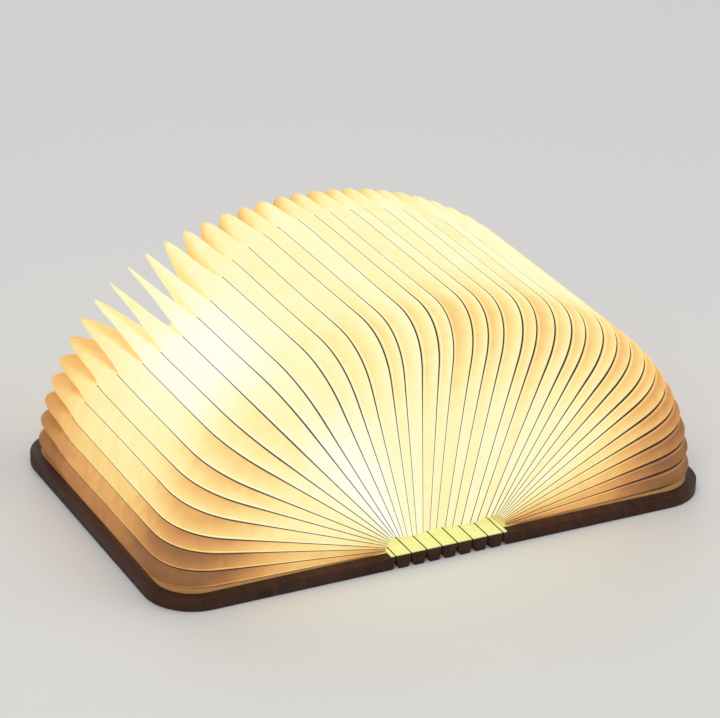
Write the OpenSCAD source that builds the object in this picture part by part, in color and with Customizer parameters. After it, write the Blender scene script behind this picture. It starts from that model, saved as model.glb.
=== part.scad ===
// Folding book lamp: two wooden covers, a rolling spine of slats, a fan of paper pleats and a light bar.
// Millimetres. X runs across the open covers, Y along the spine, +Z up. The open lamp lies on z = 0.

/* [Covers] */
// length of the covers along the spine
book_l = 122; // [116:1:140]
// width of a cover, from its hinge line to its fore-edge
cover_w = 78; // [76:1:90]
// thickness of the wooden boards
board_t = 4.2; // [4:0.1:5]
// radius of the fore-edge corners
corner_r = 16; // [8:1:18]
// bare wood left around each end paper
margin = 3.6; // [3:0.1:5]

/* [Spine] */
// distance from one slat to the next
slat_pitch = 5.4; // [5.2:0.1:5.8]
// gap between slats at the inner face
kerf = 0.5; // [0.4:0.05:0.7]
// gap between slats at the outer face, wide enough for the spine to roll backwards
kerf_out = 2.1; // [2.05:0.05:2.5]

/* [Paper] */
// how much shorter the reach of the pleats is than the covers are wide
inset = 1.5; // [1.5:0.5:6]
// how far the seams between pleats sit inside the fore-edge
dip = 4; // [2:0.5:6]
// how unevenly the pleats share the fan, 0 for equal pleats
uneven = 1; // [0:0.1:1.2]
// thickness of a drawn paper wall
paper_t = 0.6; // [0.5:0.05:0.8]
// clear space between neighbouring pleats
pleat_gap = 0.24; // [0.2:0.02:0.3]

/* [Light bar] */
// outer radius of the bar
bar_r = 6.5; // [6.2:0.1:6.8]
// length of the bar
bar_l = 86; // [84:1:92]
// wall of the bar and of its cover
bar_wall = 1.2; // [1.1:0.1:1.4]

/* [Hidden] */
$fn = 48;
slats = 7;
pleats = 38;
reach = cover_w - inset;
half_l = book_l / 2;
half_spine = slats * slat_pitch / 2;
sheet_t = 0.3;
inner_z = board_t;
lining_z = inner_z + sheet_t;
// half width of the row of pleat roots along the spine, their height, and half the width of the whole fan
root_half = half_spine - 3.9;
fan_half = half_spine + reach - 0.9;
root_z = lining_z + 0.3;
// angle left clear above each end paper
fan_edge = 0.6;
// reach at which the outer pleats start, and the slope where the roots gather at the ends of the spine
root_in = 6;
gather = 0.6;
// root, shoulder and fore-edge of the fold line of a pleat, and of the seam between two pleats;
// the roots of the lowest pleats reach root_more further out
fold_root = half_l - 10.4;
fold_end = half_l - 3.5;
fold_round = 15;
seam_root = half_l - 11.8;
seam_end = half_l - 8;
seam_round = 30;
root_more = 7.4;
// the handled pleats at the head end: deeper shoulders around this direction, and narrower tips
splay_a = 133;
splay_w = 17;
splay_round = 22;
splay_pinch = 0.4;
// light bar
bar_z = inner_z + 9;
bar_in = bar_r - bar_wall;
bar_cut = bar_z + 1.6;
foot_w = 3;
board_z = bar_z + 2.9;
pcb_t = 0.8;
led_count = 9;
led_pitch = (bar_l - 14) / (led_count - 1);
battery_y = 24 - bar_l / 2;
battery_l = bar_l - 34;
reed_y = 9.5 - bar_l / 2;
// charging port
port_y = half_l - 8.4;
port_l = 7.6;
port_w = 4.6;
port_h = 10.6;
// magnets
magnet_r = 3;
magnet_t = 2;
magnet_x = half_spine + cover_w - 13;
magnet_y = half_l - 13;
fit = 0.1;

wood = [0.27, 0.15, 0.09];
paper = [1, 0.94, 0.76];
lining = [0.94, 0.88, 0.62];
plastic = [0.93, 0.92, 0.88];
steel = [0.75, 0.76, 0.78];

// share of the fan that pleat i takes, counted from the left cover
function share(i) = 1 + uneven * (0.16 * cos(360 * (i / pleats - 0.12) / 0.78) + 0.12 * sin(i * 137.5));
function shares_to(k) = k <= 0 ? 0 : shares_to(k - 1) + share(k - 1);
shares_all = shares_to(pleats);
// direction of the seam after k pleats, 180 at the left cover and 0 at the right one
function seam_a(k) = 180 - fan_edge - (180 - 2 * fan_edge) * shares_to(k) / shares_all;

function mix(a, b, f) = a + (b - a) * f;
function bend(a, c, b, f) = mix(mix(a, c, f), mix(c, b, f), f);
// half outline of a pleat from its root to its fore-edge: straight side, round shoulder
function outline(s0, y0, s1, y1, r) =
    let (root = [s0, -mix(y0, y1, s0 / s1)], corner = [s1, -y1], side = corner - root)
    let (a = corner - side / norm(side) * r, b = corner + [0, r])
    [root, mix(root, a, 0.33), mix(root, a, 0.67), a,
     bend(a, corner, b, 0.25), bend(a, corner, b, 0.5), bend(a, corner, b, 0.75), b];
function mirrored(p) = [for (i = [len(p) - 1:-1:0]) [p[i][0], -p[i][1]]];
// where a pleat of direction a has its root, from -1 to 1 across the spine: spread in the middle, gathered at the ends
function root_x(a) = sign(cos(a)) * sin(90 * min(1, abs(cos(a)) / gather));
// where the point at reach s and place y along the spine stands, in the direction a of the fan
function fan(a, s, y) = [mix(root_half * root_x(a), fan_half * cos(a), s / reach), y, root_z + s * sin(a)];
// width of the fan at reach s, in millimetres a degree
function spread(a, s) =
    let (wide = fan(a + 0.5, s, 0) - fan(a - 0.5, s, 0), up = fan(a, s + 0.5, 0) - fan(a, s - 0.5, 0))
    norm(cross(wide, up)) / norm(up);
// how much the pleat of direction a is splayed at its head end, 0 to 1
function splay(a) = exp(-pow((a - splay_a) / splay_w, 2));

across = [-1, -0.5, 0, 0.5, 1];
// narrowing of a pleat at each station from the tail root to the head root
tips = [0, 0, 0, 0, 0, 0, 0, 0, 0.25, 0.6, 1, 0.6, 0.2, 0.1, 0, 0];
// one ring of points across a pleat: the outer skin one way, the inner skin back
function ring(a, half_a, narrow, seam, fold) =
    let (inward = (seam - fold) / norm(seam - fold))
    let (half = (half_a - pleat_gap / 2 / spread(a, seam[0])) * (1 - narrow))
    let (skin = [for (v = across) let (p = mix(seam, fold, pow(1 - v * v, 0.6))) [p[0], p[1], v]])
    concat(
        [for (q = skin) fan(a + q[2] * half, q[0], q[1])],
        [for (k = [4:-1:0]) fan(a + skin[k][2] * half, skin[k][0] + paper_t * inward[0], skin[k][1] + paper_t * inward[1])]
    );

// one pleat: a thin puffed wall that runs up the tail, along the fore-edge and down the head
module pleat(n) {
    a = (seam_a(n - 1) + seam_a(n)) / 2;
    half_a = (seam_a(n - 1) - seam_a(n)) / 2;
    out = pow(root_x(a), 2);
    s0 = 0.2 + (root_in - 0.2) * pow(root_x(a), 4);
    fold_y = fold_root + root_more * out;
    seam_y = seam_root + root_more * out;
    deep = seam_round + splay_round * splay(a);
    seam = concat(
        outline(s0, seam_y, reach - dip, seam_end, seam_round),
        mirrored(outline(s0, seam_y, reach - dip, seam_end, deep)));
    fold = concat(
        outline(s0, fold_y, reach, fold_end, fold_round),
        mirrored(outline(s0, fold_y, reach, fold_end, fold_round - 5 * splay(a))));
    rings = len(seam);
    points = [for (j = [0:rings - 1]) each ring(a, half_a, splay_pinch * splay(a) * tips[j], seam[j], fold[j])];
    // both skins are cut into triangles along the same diagonals, so they never cross
    sides = [for (j = [0:rings - 2], k = [0:9])
        let (p = j * 10 + k, q = j * 10 + (k + 1) % 10)
        each (k < 5 ? [[p, q, q + 10], [p, q + 10, p + 10]] : [[p, q, p + 10], [q, q + 10, p + 10]])];
    e = (rings - 1) * 10;
    start = [for (k = [0:3]) each [[k, 8 - k, k + 1], [k, 9 - k, 8 - k]]];
    finish = [for (k = [0:3]) each [[e + k, e + k + 1, e + 8 - k], [e + k, e + 8 - k, e + 9 - k]]];
    color(paper) polyhedron(points = points, faces = concat(start, sides, finish), convexity = 6);
}

// a bar along Y, drawn in the X-Z plane
module along_y(y0, l) {
    translate([0, y0 + l, 0]) rotate([90, 0, 0]) linear_extrude(height = l) children();
}

// slat k, counted from the left, 4 in the middle
module slat(k) {
    x = (k - (slats + 1) / 2) * slat_pitch;
    top = (slat_pitch - kerf) / 2;
    bottom = (slat_pitch - kerf_out) / 2;
    translate([x, 0, 0]) along_y(-half_l, book_l)
        polygon([[-bottom, 0], [bottom, 0], [top, board_t], [-top, board_t]]);
}

// right-hand cover board with its sloping hinge edge and its two magnet pockets
module cover_board() {
    edge = half_spine + cover_w;
    difference() {
        intersection() {
            linear_extrude(height = board_t) union() {
                translate([half_spine, -half_l]) square([cover_w - corner_r, book_l]);
                translate([half_spine, corner_r - half_l]) square([cover_w, book_l - 2 * corner_r]);
                for (s = [-1, 1]) translate([edge - corner_r, s * (half_l - corner_r)]) circle(corner_r);
            }
            along_y(-half_l, book_l)
                polygon([[half_spine + kerf_out / 2, 0], [edge, 0], [edge, board_t], [half_spine + kerf / 2, board_t]]);
        }
        for (s = [-1, 1]) translate([magnet_x, s * magnet_y, board_t - magnet_t - fit])
            cylinder(r = magnet_r + fit, h = magnet_t + 1);
    }
}

// right-hand end paper, with the same rounded corners as its cover
module end_paper() {
    x0 = half_spine + 1.8;
    x1 = half_spine + cover_w - margin;
    y1 = half_l - margin;
    r = corner_r - margin;
    translate([0, 0, inner_z]) linear_extrude(height = sheet_t) union() {
        translate([x0, -y1]) square([x1 - r - x0, 2 * y1]);
        translate([x0, r - y1]) square([x1 - x0, 2 * (y1 - r)]);
        for (s = [-1, 1]) translate([x1 - r, s * (y1 - r)]) circle(r);
    }
}

module magnet_pair() {
    for (s = [-1, 1]) translate([magnet_x, s * magnet_y, board_t - magnet_t - fit / 2])
        cylinder(r = magnet_r, h = magnet_t);
}

module cover_left() color(wood) mirror([1, 0, 0]) cover_board();

module cover_right() color(wood) cover_board();

module end_paper_left() color(paper) mirror([1, 0, 0]) end_paper();

module end_paper_right() color(paper) end_paper();

module magnets_left() color(steel) mirror([1, 0, 0]) magnet_pair();

module magnets_right() color(steel) magnet_pair();

module slat_1() color(wood) slat(1);

module slat_2() color(wood) slat(2);

module slat_3() color(wood) slat(3);

module slat_4() color(wood) slat(4);

module slat_5() color(wood) slat(5);

module slat_6() color(wood) slat(6);

module slat_7() color(wood) slat(7);

// tough lining paper glued across the slats and the cover edges, creased at each hinge
module spine_lining() color(lining)
    translate([-half_spine - 1.5, 0.6 - half_l, inner_z]) cube([2 * half_spine + 3, book_l - 1.2, sheet_t]);

// closed tube of the light bar
module bar_tube() difference() {
    along_y(-bar_l / 2, bar_l) translate([0, bar_z]) circle(bar_r);
    along_y(bar_wall - bar_l / 2, bar_l - 2 * bar_wall) translate([0, bar_z]) circle(bar_in);
}

// lower part of the bar, on a narrow foot that stands on the middle slat
module bar_trough() color(plastic) {
    difference() {
        union() {
            bar_tube();
            translate([-foot_w / 2, -bar_l / 2, lining_z]) cube([foot_w, bar_l, bar_z - bar_in - 0.4 - lining_z]);
        }
        translate([-bar_r - 1, -bar_l, bar_cut]) cube([2 * bar_r + 2, 2 * bar_l, 2 * bar_r]);
    }
}

// opal cover that closes the trough
module diffuser() color([1, 1, 0.96]) intersection() {
    bar_tube();
    translate([-bar_r - 1, -bar_l, bar_cut]) cube([2 * bar_r + 2, 2 * bar_l, 2 * bar_r]);
}

module circuit_board() color([0.95, 0.95, 0.93])
    translate([-3.5, 3 - bar_l / 2, board_z]) cube([7, bar_l - 6, pcb_t]);

module leds() color([1, 0.85, 0.45]) for (i = [0:led_count - 1])
    translate([-1.4, (i - (led_count - 1) / 2) * led_pitch - 1.4, board_z + pcb_t]) cube([2.8, 2.8, 0.7]);

module battery() color([0.2, 0.35, 0.6]) along_y(battery_y, battery_l) translate([0, bar_z - 1.35]) circle(3.6);

module reed_switch() color([0.55, 0.75, 0.6]) along_y(reed_y, 12) translate([0, bar_z + 1.6]) circle(1.1);

// post that holds the charging socket upright behind the pleats
module port_post() color(plastic) difference() {
    translate([-port_w / 2, port_y, lining_z]) cube([port_w, port_l, port_h]);
    translate([-1.7, port_y + 0.8, lining_z + 0.8]) cube([3.4, port_l, 9]);
}

// upright charging socket shell with its tongue
module charging_socket() color(steel) {
    translate([0, port_y + 0.9, lining_z + 5.3]) {
        difference() {
            translate([-1.6, 0, -4.4]) cube([3.2, port_l - 1, 8.8]);
            translate([-1.3, 0.6, -4.1]) cube([2.6, port_l, 8.2]);
        }
        translate([-0.35, 0.5, -3.3]) cube([0.7, 4.6, 6.6]);
    }
}

module pleat_01() pleat(1);

module pleat_02() pleat(2);

module pleat_03() pleat(3);

module pleat_04() pleat(4);

module pleat_05() pleat(5);

module pleat_06() pleat(6);

module pleat_07() pleat(7);

module pleat_08() pleat(8);

module pleat_09() pleat(9);

module pleat_10() pleat(10);

module pleat_11() pleat(11);

module pleat_12() pleat(12);

module pleat_13() pleat(13);

module pleat_14() pleat(14);

module pleat_15() pleat(15);

module pleat_16() pleat(16);

module pleat_17() pleat(17);

module pleat_18() pleat(18);

module pleat_19() pleat(19);

module pleat_20() pleat(20);

module pleat_21() pleat(21);

module pleat_22() pleat(22);

module pleat_23() pleat(23);

module pleat_24() pleat(24);

module pleat_25() pleat(25);

module pleat_26() pleat(26);

module pleat_27() pleat(27);

module pleat_28() pleat(28);

module pleat_29() pleat(29);

module pleat_30() pleat(30);

module pleat_31() pleat(31);

module pleat_32() pleat(32);

module pleat_33() pleat(33);

module pleat_34() pleat(34);

module pleat_35() pleat(35);

module pleat_36() pleat(36);

module pleat_37() pleat(37);

module pleat_38() pleat(38);

cover_left();
cover_right();
end_paper_left();
end_paper_right();
magnets_left();
magnets_right();
slat_1();
slat_2();
slat_3();
slat_4();
slat_5();
slat_6();
slat_7();
spine_lining();
bar_trough();
diffuser();
circuit_board();
leds();
battery();
reed_switch();
port_post();
charging_socket();
pleat_01();
pleat_02();
pleat_03();
pleat_04();
pleat_05();
pleat_06();
pleat_07();
pleat_08();
pleat_09();
pleat_10();
pleat_11();
pleat_12();
pleat_13();
pleat_14();
pleat_15();
pleat_16();
pleat_17();
pleat_18();
pleat_19();
pleat_20();
pleat_21();
pleat_22();
pleat_23();
pleat_24();
pleat_25();
pleat_26();
pleat_27();
pleat_28();
pleat_29();
pleat_30();
pleat_31();
pleat_32();
pleat_33();
pleat_34();
pleat_35();
pleat_36();
pleat_37();
pleat_38();
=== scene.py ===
"""Folding book lamp, dressed: walnut boards, a creased spine lining, a fan of glowing paper
pleats and a light bar.
"""

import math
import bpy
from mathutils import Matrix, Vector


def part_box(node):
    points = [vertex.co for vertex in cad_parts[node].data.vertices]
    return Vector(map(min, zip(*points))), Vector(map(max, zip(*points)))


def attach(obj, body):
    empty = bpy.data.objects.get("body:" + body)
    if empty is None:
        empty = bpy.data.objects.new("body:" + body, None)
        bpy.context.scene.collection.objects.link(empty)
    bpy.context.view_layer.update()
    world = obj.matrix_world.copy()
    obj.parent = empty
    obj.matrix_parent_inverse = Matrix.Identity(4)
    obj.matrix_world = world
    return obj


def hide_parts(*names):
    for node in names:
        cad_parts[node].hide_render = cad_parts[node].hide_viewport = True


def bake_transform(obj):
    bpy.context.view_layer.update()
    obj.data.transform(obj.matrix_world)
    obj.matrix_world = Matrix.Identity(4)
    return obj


bl_info = {
    "name": "Folding book lamp",
    "version": (1, 0, 0),
    "blender": (4, 5, 0),
    "location": "View3D > Sidebar > Book lamp",
    "description": "Makes a folding book lamp with lit paper pleats",
    "category": "Object",
}

import bpy
import numpy as np
from bpy.props import FloatProperty, FloatVectorProperty, PointerProperty
from bpy.types import Operator, Panel, PropertyGroup
from mathutils import Matrix, Vector

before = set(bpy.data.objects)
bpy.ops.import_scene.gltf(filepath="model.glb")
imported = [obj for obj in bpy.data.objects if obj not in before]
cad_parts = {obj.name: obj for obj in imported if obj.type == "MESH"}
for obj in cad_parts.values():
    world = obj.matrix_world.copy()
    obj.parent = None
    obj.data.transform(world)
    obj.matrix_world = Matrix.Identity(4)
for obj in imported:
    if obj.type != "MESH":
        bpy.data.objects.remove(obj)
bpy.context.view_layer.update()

MM = 0.001
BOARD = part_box("cover_right")
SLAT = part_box("slat_4")
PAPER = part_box("end_paper_right")
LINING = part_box("spine_lining")

# Boards, slats and papers
BOARD_T = BOARD[1][2]
HALF_L = BOARD[1][1]
SLATS = 7
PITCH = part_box("slat_5")[1][0] - SLAT[1][0]
HALF_SPINE = SLATS * PITCH / 2
KERF_TOP = PITCH - (SLAT[1][0] - SLAT[0][0])
KERF_BOTTOM = 2.1 * MM
CORNER_R = 16 * MM
SLAT_ROUND = 0.5  # share of the covers' edge rounding
SHEET_T = PAPER[1][2] - PAPER[0][2]
SHEET_ROUND = 0.08 * MM
ROUND_STEPS, CORNER_STEPS = 5, 17
CREASE_DEPTH = 0.2 * MM
CREASE_WIDTH = 0.25 * MM
STRIP_STEPS, CREASE_STEPS = 9, 17
MIDDLE = 4  # place of the middle slat in BODIES
BODIES = [
    "cover_left", "slat_1", "slat_2", "slat_3", "spine_centre",
    "slat_5", "slat_6", "slat_7", "cover_right",
]

# Directions, in degrees, and roots of the pleats
PLEATS = 38
FAN_EDGE = 0.6  # between a cover and the nearest seam
CAD_REACH = 76.5 * MM
ROOT_HALF = HALF_SPINE - 3.9 * MM
ROOT_Z = BOARD_T + SHEET_T + 0.3 * MM
FAN_HALF = HALF_SPINE + CAD_REACH - 0.9 * MM
GATHER = 0.6  # the roots of all directions beyond this cosine lie together
WAVE, WAVE_START, WAVE_SPAN = 0.16, 0.12, 0.78  # slow change of the widths over the fan
SCATTER, SCATTER_TURN = 0.12, 137.5  # change from pleat to pleat
SWAY_SLOW, SWAY_QUICK = (0.16, 5.1, 2.3), (0.09, 11.7, 1.1)  # size, turn along and by seam
SWAY_HELD = 0.8  # power of the sine that stills it at the roots
SPLAY_AT, SPLAY_WIDTH = 133, 17

# Outlines: how far inside the boards' ends at root and shoulder, shoulder radius, and what splay
# adds to it at the head end
SEAM_LINE = {"root_in": 11.8 * MM, "side_in": 8 * MM, "turn": 30 * MM, "splayed": 34 * MM}
FOLD_LINE = {"root_in": 10.4 * MM, "side_in": 3.5 * MM, "turn": 15 * MM, "splayed": -6 * MM}
ROOT_RISE, OUTER_RISE = 0.2 * MM, 5.8 * MM  # height of the roots, and what is added outwards
OUTER_LONGER = 7.4 * MM  # the outer pleats reach further along the spine at their roots
SIDE_STEPS, SHOULDER_STEPS, FORE_STEPS = 13, 15, 6
SIDE_CLOSER = 1.1  # power that draws the side's stations to the root
CORNER_LEAN = 0.6  # weight of the reach against the length, where a corner is looked for

# Section of a pleat
ACROSS = 15
PUFF, PUFF_DEEP = 2, 0.9  # power of the cosine, and how much less it is in a deep groove
BLADE_SPAN, BLADE_FLAT = 0.12, 0.7  # the splayed tips are drawn narrow and flat over this span
MOST_NARROWED = 0.3  # of the width, in the inner skin
LIP_REACH, LIP_SHARE = 1.8 * MM, 0.8
LIP_AT_COVER = 0.05  # the first pleat has no neighbour to reach under
LIP_SHAPE = np.array([0, 1, 1, 0])
LIP_DEPTH = np.array([0.42, 0.5, 0.65, 0.65]) * MM

# Seam grooves, and the dark seam lines of painted shade, which are measured in millimetres
GROOVE_START, GROOVE_FULL = 0.62, 0.70
GROOVE_END = (0.76, 0.14, 0.75)  # where it ends, over what length, and how much goes
SPLAY_START, SPLAY_FULL = 0.13, 0.11  # how much sooner splayed pleats part
LINE, LINE_SHOULDER = 0.13, 0.09
LINE_FLANK, LINE_FLANK_BOLD = 0.35, 0.9
LINE_MOST = 0.3  # share of the pleat's half width
BOLD_FROM, BOLD_OVER = 78, 10
FLANK_SLOPE = 1.8484686  # in full just past half way to the seam
LINE_OFF_TIP, LINE_OFF_LIP = 1.5, 2.0  # clears the line from splayed tips and from lips

# Light in the paper, in doublings; directions in degrees, places as shares of the outline
HOT_AT, HOT_FORE, HOT_WIDTH = 122, 12, 13
HOT_END, HOT_FADE, HOT_OFF_SHOULDER = 0.60, 0.12, 0.7
FORE_FADE = 0.08
AT_COVER = {"left": (2.2, 16), "right": (2.6, 20)}  # lost, over these degrees
AT_SHOULDER = {"left": (0.5, 3.9, 15), "right": (0.85, 3.7, 24)}  # everywhere, by the covers
SHOULDER_SPAN = 0.09
AT_ROOT, ROOT_FADE, ROOT_SPAN = 2.2, 25, 0.05
AT_HEAD, HEAD_SPLAYED, HEAD_SPAN = 2.2, 0.75, (0.035, 0.06)  # longer in the low left pleats
LOW_FROM, LOW_OVER = 140, 15
AT_FORE, FORE_DEGREES = 3.0, 8
FLANK_TURN, FLANK_HOT, FLANK_HOT_AT, FLANK_HOT_WIDTH = 12, 0.8, 128, 16
FLANK_SHOULDER, FLANK_TIP, TIP_SPAN = 0.95, 0.5, 0.05
LEVEL_SCATTER, LEVEL_TURN = 0.22, 2.4  # change from pleat to pleat
LEAST_LEVEL, INSIDE_MORE = -2.2, 0.8

# Bending with the hinges
HINGE_STEP = 22.5  # degrees of the fan that one hinge bends
LAST_HINGE = 3  # the hinge beside a cover
REACH_SHARE = 0.81  # of the reach, where the ramps are fitted
RAMP_PAST, RAMP_SOFTER, ROOT_STEP = 0.1, 0.08, 0.06

# Finishes
PORE_BROWN = (0.014, 0.006, 0.003)
# painted shade of the dark seam lines: glow and base colour for the crevices between pleats and
# the glued seams that pass less light
SEAM_SHADE_GLOW, SEAM_SHADE_BASE = (0.006, 0.006, 0.008), (0.02, 0.02, 0.022)
LINING_THIN, LINING_THICK = (0.52, 0.50, 0.25), (0.60, 0.57, 0.31)
# the crease colour is painted shade along the lining's creases
CREASE_SHADE, LINING_LIT = (0.05, 0.045, 0.02), (0.36, 0.37, 0.10)
SHEET_THIN, SHEET_THICK = (0.22, 0.13, 0.06), (0.28, 0.17, 0.08)
SHEET_LIT_NEAR, SHEET_LIT_FAR = (0.55, 0.50, 0.14), (0.13, 0.055, 0.016)
SHEET_FADE = (HALF_SPINE + 2 * MM, HALF_SPINE + 9 * MM)
CREASE_FADE = (0.12, 0.34)  # millimetres from the crease
CLOUDY, CLOUD_LIGHT = (0.3, 0.7), 0.22  # range of the cloud noise, doublings it makes
SEAM_FADE, HIGHLIGHT_BEGINS, HIGHLIGHT_ENDS = (0.45, 1.0), (1.0, 1.5), (1.8, 3.2)  # in line widths: where the painted shade of the seam fades, and where the painted highlight beside it begins and ends
HIGHLIGHT_SIDE, HIGHLIGHT_LIGHT = (0.2, 0.6), 1.2  # where across the pleat the painted highlight comes in, and the doublings it adds
MOULDED = {  # colour, roughness, metallic, scale of the marks, any glow and its strength
    "white_plastic": ((0.78, 0.77, 0.72), 0.38, 0.0, 220.0),
    "opal_plastic": ((0.85, 0.82, 0.72), 0.35, 0.0, 220.0, (1.0, 0.86, 0.55), 1.6),
    "board_white": ((0.80, 0.82, 0.78), 0.45, 0.0, 900.0),
    "led_amber": ((0.9, 0.72, 0.25), 0.25, 0.0, 220.0, (1.0, 0.85, 0.5), 2.0),
    "battery_wrap": ((0.06, 0.16, 0.38), 0.3, 0.0, 220.0),
    "socket_steel": ((0.62, 0.62, 0.64), 0.28, 1.0, 600.0),
    "magnet_plate": ((0.66, 0.66, 0.68), 0.22, 1.0, 700.0),
}
LIGHT_BAR = {
    "bar_trough": "white_plastic", "diffuser": "opal_plastic", "circuit_board": "board_white",
    "leds": "led_amber", "battery": "battery_wrap",
}

# Stage
FLOOR_R, FLOOR_SIDES, FLOOR_Z = 3.0, 96, -0.2 * MM
LAMPS = {
    "key": ((-0.75, -0.95, 1.25), 1.1),
    "fill": ((1.1, -0.5, 0.9), 1.3),
    "back": ((0.2, 1.2, 1.1), 1.2),
}
BACK_SHARE = 0.8
LAMP_AIM = (0, 0, 0.03)
SKY, SKY_LIGHT, SKY_SEEN = (0.96, 0.97, 1.0, 1), 0.34, 0.8
CAMERA_AT = (-0.45251, -0.86791, 0.51353)
CAMERA_TURN = [  # its right, up and back
    (0.8934044, -0.4483764, 0.0280556),
    (0.1723397, 0.3997249, 0.9002883),
    (-0.4148826, -0.7994865, 0.4343890),
]


# ---- settings


class WoodSettings(PropertyGroup):
    """Walnut of the covers and slats."""

    edge_round: FloatProperty(
        name="Edge rounding", description="Radius of the sanded edges",
        default=0.35 * MM, min=0.1 * MM, max=0.9 * MM, unit="LENGTH",
    )
    dark: FloatVectorProperty(
        name="Dark grain", description="Colour of the late wood",
        default=(0.014, 0.005, 0.0025), subtype="COLOR",
    )
    light: FloatVectorProperty(
        name="Light grain", description="Colour of the early wood",
        default=(0.072, 0.024, 0.010), subtype="COLOR",
    )


class PleatSettings(PropertyGroup):
    """Shape of the paper fan."""

    reach: FloatProperty(
        name="Reach", description="From the roots to the fore-edge",
        default=76.5 * MM, min=60 * MM, max=77 * MM, unit="LENGTH",
    )
    dip: FloatProperty(
        name="Seam dip", description="How deep the seams lie inside the folds at the head corner",
        default=4 * MM, min=1 * MM, max=8 * MM, unit="LENGTH",
    )
    shallow: FloatProperty(
        name="Shallow seams", description="Share of the seam dip from the tail to the fore-edge",
        default=0.14, min=0.1, max=1,
    )
    wall: FloatProperty(
        name="Paper wall", description="Thickness of the drawn paper",
        default=0.32 * MM, min=0.1 * MM, max=0.8 * MM, unit="LENGTH",
    )
    gap: FloatProperty(
        name="Seam gap", description="Clear space between neighbouring pleats",
        default=0.012 * MM, min=0, max=0.4 * MM, unit="LENGTH",
    )
    pinch: FloatProperty(
        name="Tip pinch", description="How far the splayed pleats narrow at the head tips",
        default=0.84, min=0, max=0.95,
    )
    uneven: FloatProperty(
        name="Unevenness", description="How unevenly the pleats share the fan",
        default=1.0, min=0, max=1.2,
    )


class GlowSettings(PropertyGroup):
    """Colours of the lit paper."""

    through: FloatVectorProperty(
        name="Light passed",
        description="Share of red, green and blue light that the paper lets through",
        default=(1.0, 0.33, 0.08), subtype="COLOR",
    )
    peak: FloatProperty(
        name="Peak", description="Brightest the lit paper gets", default=0.915, min=0.2, max=1,
    )
    level: FloatProperty(
        name="Level", description="Light in the middle of the fan, in doublings",
        default=3.3, min=0, max=8,
    )
    hot: FloatProperty(
        name="Hot patch", description="Extra light in the brightest pleats, in doublings",
        default=1.5, min=0, max=4,
    )
    sheet: FloatVectorProperty(
        name="Unlit paper", description="What the paper gives back of other light",
        default=(0.11, 0.08, 0.045), subtype="COLOR",
    )


class StageSettings(PropertyGroup):
    """Floor, lamps and camera."""

    floor: FloatVectorProperty(
        name="Floor colour", default=(0.78, 0.77, 0.75), subtype="COLOR",
    )
    key_power: FloatProperty(
        name="Key lamp power", default=13.0, min=0, unit="POWER",
    )
    fill_power: FloatProperty(
        name="Fill lamp power", default=6.0, min=0, unit="POWER",
    )
    lens: FloatProperty(
        name="Lens", description="Focal length in millimetres", default=169.3, min=20, max=400,
    )


# ---- meshes


def make_mesh(name, points, faces, smooth=True, attributes=None):
    """Puts points (n, 3) and an array or list of faces into a new object at the origin.
    attributes: name to one value for each point."""
    mesh = bpy.data.meshes.new(name)
    mesh.from_pydata(points.tolist(), [], faces if isinstance(faces, list) else faces.tolist())
    mesh.update()
    mesh.polygons.foreach_set("use_smooth", np.full(len(mesh.polygons), smooth))
    for key, values in (attributes or {}).items():
        layer = mesh.attributes.new(key, "FLOAT", "POINT")
        layer.data.foreach_set("value", np.asarray(values, np.float32).ravel())
    if mesh.validate():
        raise RuntimeError(name + " has faces that Blender had to mend")
    thing = bpy.data.objects.new(name, mesh)
    bpy.context.scene.collection.objects.link(thing)
    return thing


def tube_faces(rings, around):
    """Quads between rings of points that each close on themselves: (rings - 1) * around rows."""
    r, k = np.meshgrid(np.arange(rings - 1), np.arange(around), indexing="ij")
    here, beyond = r * around, (r + 1) * around
    nxt = (k + 1) % around
    return np.stack([here + k, here + nxt, beyond + nxt, beyond + k], -1).reshape(-1, 4)


def bell(x, middle, spread):
    """exp(-((x - middle) / spread)^2)."""
    return np.exp(-(((x - middle) / spread) ** 2))


def ease(t):
    """t^2 (3 - 2t), with t held between 0 and 1."""
    t = np.clip(t, 0, 1)
    return t * t * (3 - 2 * t)


def uneased(share):
    """The t whose ease is share."""
    return 0.5 - np.sin(np.arcsin(1 - 2 * share) / 3)


def slab(name, outline, low, high, edge, mirror=False):
    """A flat board with sanded edges. Each ring is the outline drawn in by d at height z, where
    d = e (1 - sin a) and z rises by e (1 - cos a) through a quarter turn at the bottom edge, and
    the same upside down at the top edge."""
    turn = np.radians(np.linspace(0, 90, ROUND_STEPS))
    inset = np.concatenate([edge * (1 - np.sin(turn)), edge * (1 - np.cos(turn))])
    height = np.concatenate([low + edge * (1 - np.cos(turn)), high - edge * (1 - np.sin(turn))])
    rings = []
    for d, z in zip(inset, height):
        xy = outline(d, (z - low) / (high - low))
        rings.append(np.column_stack([xy, np.full(len(xy), z)]))
    points = np.concatenate(rings)
    around = len(rings[0])
    faces = tube_faces(len(rings), around).tolist()
    faces.append(list(range(around - 1, -1, -1)))
    faces.append(list(range((len(rings) - 1) * around, len(rings) * around)))
    if mirror:
        points[:, 0] *= -1
        faces = [f[::-1] for f in faces]
    return make_mesh(name, points, faces)


def rounded_leaf(x_bottom, x_top, x_end, half, r):
    """Outline of a cover or end paper: straight hinge side, two round fore-edge corners, drawn
    counter-clockwise."""

    def outline(d, f):
        x0 = x_bottom + (x_top - x_bottom) * f + d
        a = np.radians(np.linspace(-90, 0, CORNER_STEPS))
        rr = r - d
        low = np.column_stack([x_end - r + rr * np.cos(a), -half + r + rr * np.sin(a)])
        high = low[::-1] * [1, -1]
        return np.concatenate([[[x0, -half + d]], low, high, [[x0, half - d]]])

    return outline


def slat_outline(middle, bottom, top, half):
    """Outline of a slat whose half width goes from bottom to top through its thickness."""

    def outline(d, f):
        w = bottom + (top - bottom) * f - d
        left, right, end = middle - w, middle + w, half - d
        return np.array([[left, -end], [right, -end], [right, end], [left, end]])

    return outline


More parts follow.
